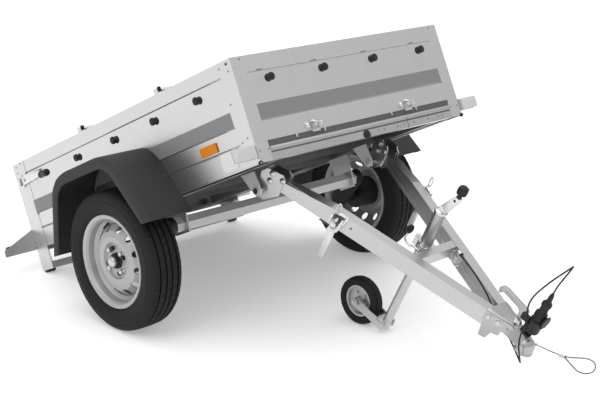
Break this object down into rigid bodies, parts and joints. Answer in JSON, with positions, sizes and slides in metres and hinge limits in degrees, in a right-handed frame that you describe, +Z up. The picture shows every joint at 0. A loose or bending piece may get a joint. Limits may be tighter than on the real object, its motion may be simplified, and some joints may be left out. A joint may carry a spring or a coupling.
{
  "type": "utility trailer",
  "caption": "Small single-axle box trailer tipped back for unloading, with a hinged V drawbar folded down on a jockey wheel.",
  "frame": {"origin": "on the ground, under the middle of the bounding box", "axes": "+X forward to the coupling, +Y to the left side, +Z up"},
  "size_m": [2.5265, 1.512, 1.0907],
  "materials": {
    "galvanised_sheet": "galvanised sheet, satin",
    "galvanised_frame": "hot-dip galvanised, dull",
    "plywood": "phenolic faced plywood",
    "tyre": "black rubber",
    "wheel_steel": "silver paint",
    "black_plastic": "grained black plastic",
    "black_rubber": "black rubber",
    "zinc_plate": "bright zinc",
    "amber_lens": "amber reflector",
    "white_lens": "white lens",
    "red_lens": "red lens",
    "coupling_steel": "zinc plated",
    "black_steel": "black paint"
  },
  "bodies": {
    "box": {"axle_beam": "galvanised_frame", "axle_brackets": "galvanised_frame", "corner_posts": "galvanised_sheet", "cross_members": "galvanised_frame", "data_plate": "white_lens", "end_beams": "galvanised_frame", "fender_left": "black_plastic", "fender_right": "black_plastic", "floor_panel": "plywood", "frame_rails": "galvanised_frame", "front_markers": "white_lens", "front_panel": "galvanised_sheet", "gate_hinge_pins": "zinc_plate", "gate_latches": "zinc_plate", "hinge_lugs": "galvanised_frame", "hinge_pins": "zinc_plate", "lamp_brackets": "galvanised_frame", "lashing_eyes": "zinc_plate", "parking_feet": "black_rubber", "rear_lamps": "red_lens", "rear_lower_tube": "galvanised_frame", "side_panel_left": "galvanised_sheet", "side_panel_right": "galvanised_sheet", "side_reflectors": "amber_lens", "swing_arms": "black_steel", "tarp_bows": "galvanised_frame", "tarp_knobs": "black_plastic"},
    "drawbar": {"drawbar_arm_left": "galvanised_frame", "drawbar_arm_right": "galvanised_frame", "arm_root_plates": "galvanised_frame", "bar_cross_member": "galvanised_frame", "jockey_clamp": "zinc_plate", "jockey_tube": "zinc_plate", "jockey_crank": "zinc_plate", "bar_locks": "zinc_plate", "coupling_head": "coupling_steel", "coupling_handle": "coupling_steel", "plug_holder": "black_plastic", "lead_plug": "black_plastic", "lead_cord": "black_plastic", "lead_gland": "black_plastic", "crank_grip": "black_plastic", "breakaway_cable": "zinc_plate", "cable_ferrule": "zinc_plate"},
    "tailgate": {"tailgate": "galvanised_sheet", "gate_hinge_leaves": "zinc_plate"},
    "jockey_leg": {"jockey_leg": "zinc_plate"},
    "jockey_fork": {"jockey_fork": "zinc_plate"},
    "jockey_wheel": {"jockey_tyre": "tyre", "jockey_rim": "zinc_plate"},
    "wheel_right": {"tyre_right": "tyre", "rim_right": "wheel_steel", "hub_right": "black_steel"},
    "wheel_left": {"tyre_left": "tyre", "rim_left": "wheel_steel", "hub_left": "black_steel"}
  },
  "joints": [
    {"name": "drawbar_fold", "type": "hinge", "parent": "box", "child": "drawbar", "pos_m": [0.14669, 0, 0.56257], "axis": [0, -1, 0], "range_deg": [0, 42]},
    {"name": "tailgate_hinge", "type": "hinge", "parent": "box", "child": "tailgate", "pos_m": [-1.07815, 0, 0.11538], "axis": [0, -1, 0], "range_deg": [0, 80]},
    {"name": "wheel_right_spin", "type": "hinge", "parent": "box", "child": "wheel_right", "pos_m": [-0.26336, -0.666, 0.2735], "axis": [0, 1, 0], "continuous": true},
    {"name": "wheel_left_spin", "type": "hinge", "parent": "box", "child": "wheel_left", "pos_m": [-0.26336, 0.666, 0.2735], "axis": [0, 1, 0], "continuous": true},
    {"name": "jockey_leg_slide", "type": "slide", "parent": "drawbar", "child": "jockey_leg", "axis": [0.4524, 0, 0.8918], "range_m": [-0.05, 0.13]},
    {"name": "jockey_swivel", "type": "hinge", "parent": "jockey_leg", "child": "jockey_fork", "pos_m": [0.49077, 0, 0.05609], "axis": [0.4524, 0, 0.8918], "continuous": true},
    {"name": "jockey_wheel_spin", "type": "hinge", "parent": "jockey_fork", "child": "jockey_wheel", "pos_m": [0.35016, 0, 0.095], "axis": [0, 1, 0], "continuous": true}
  ]
}
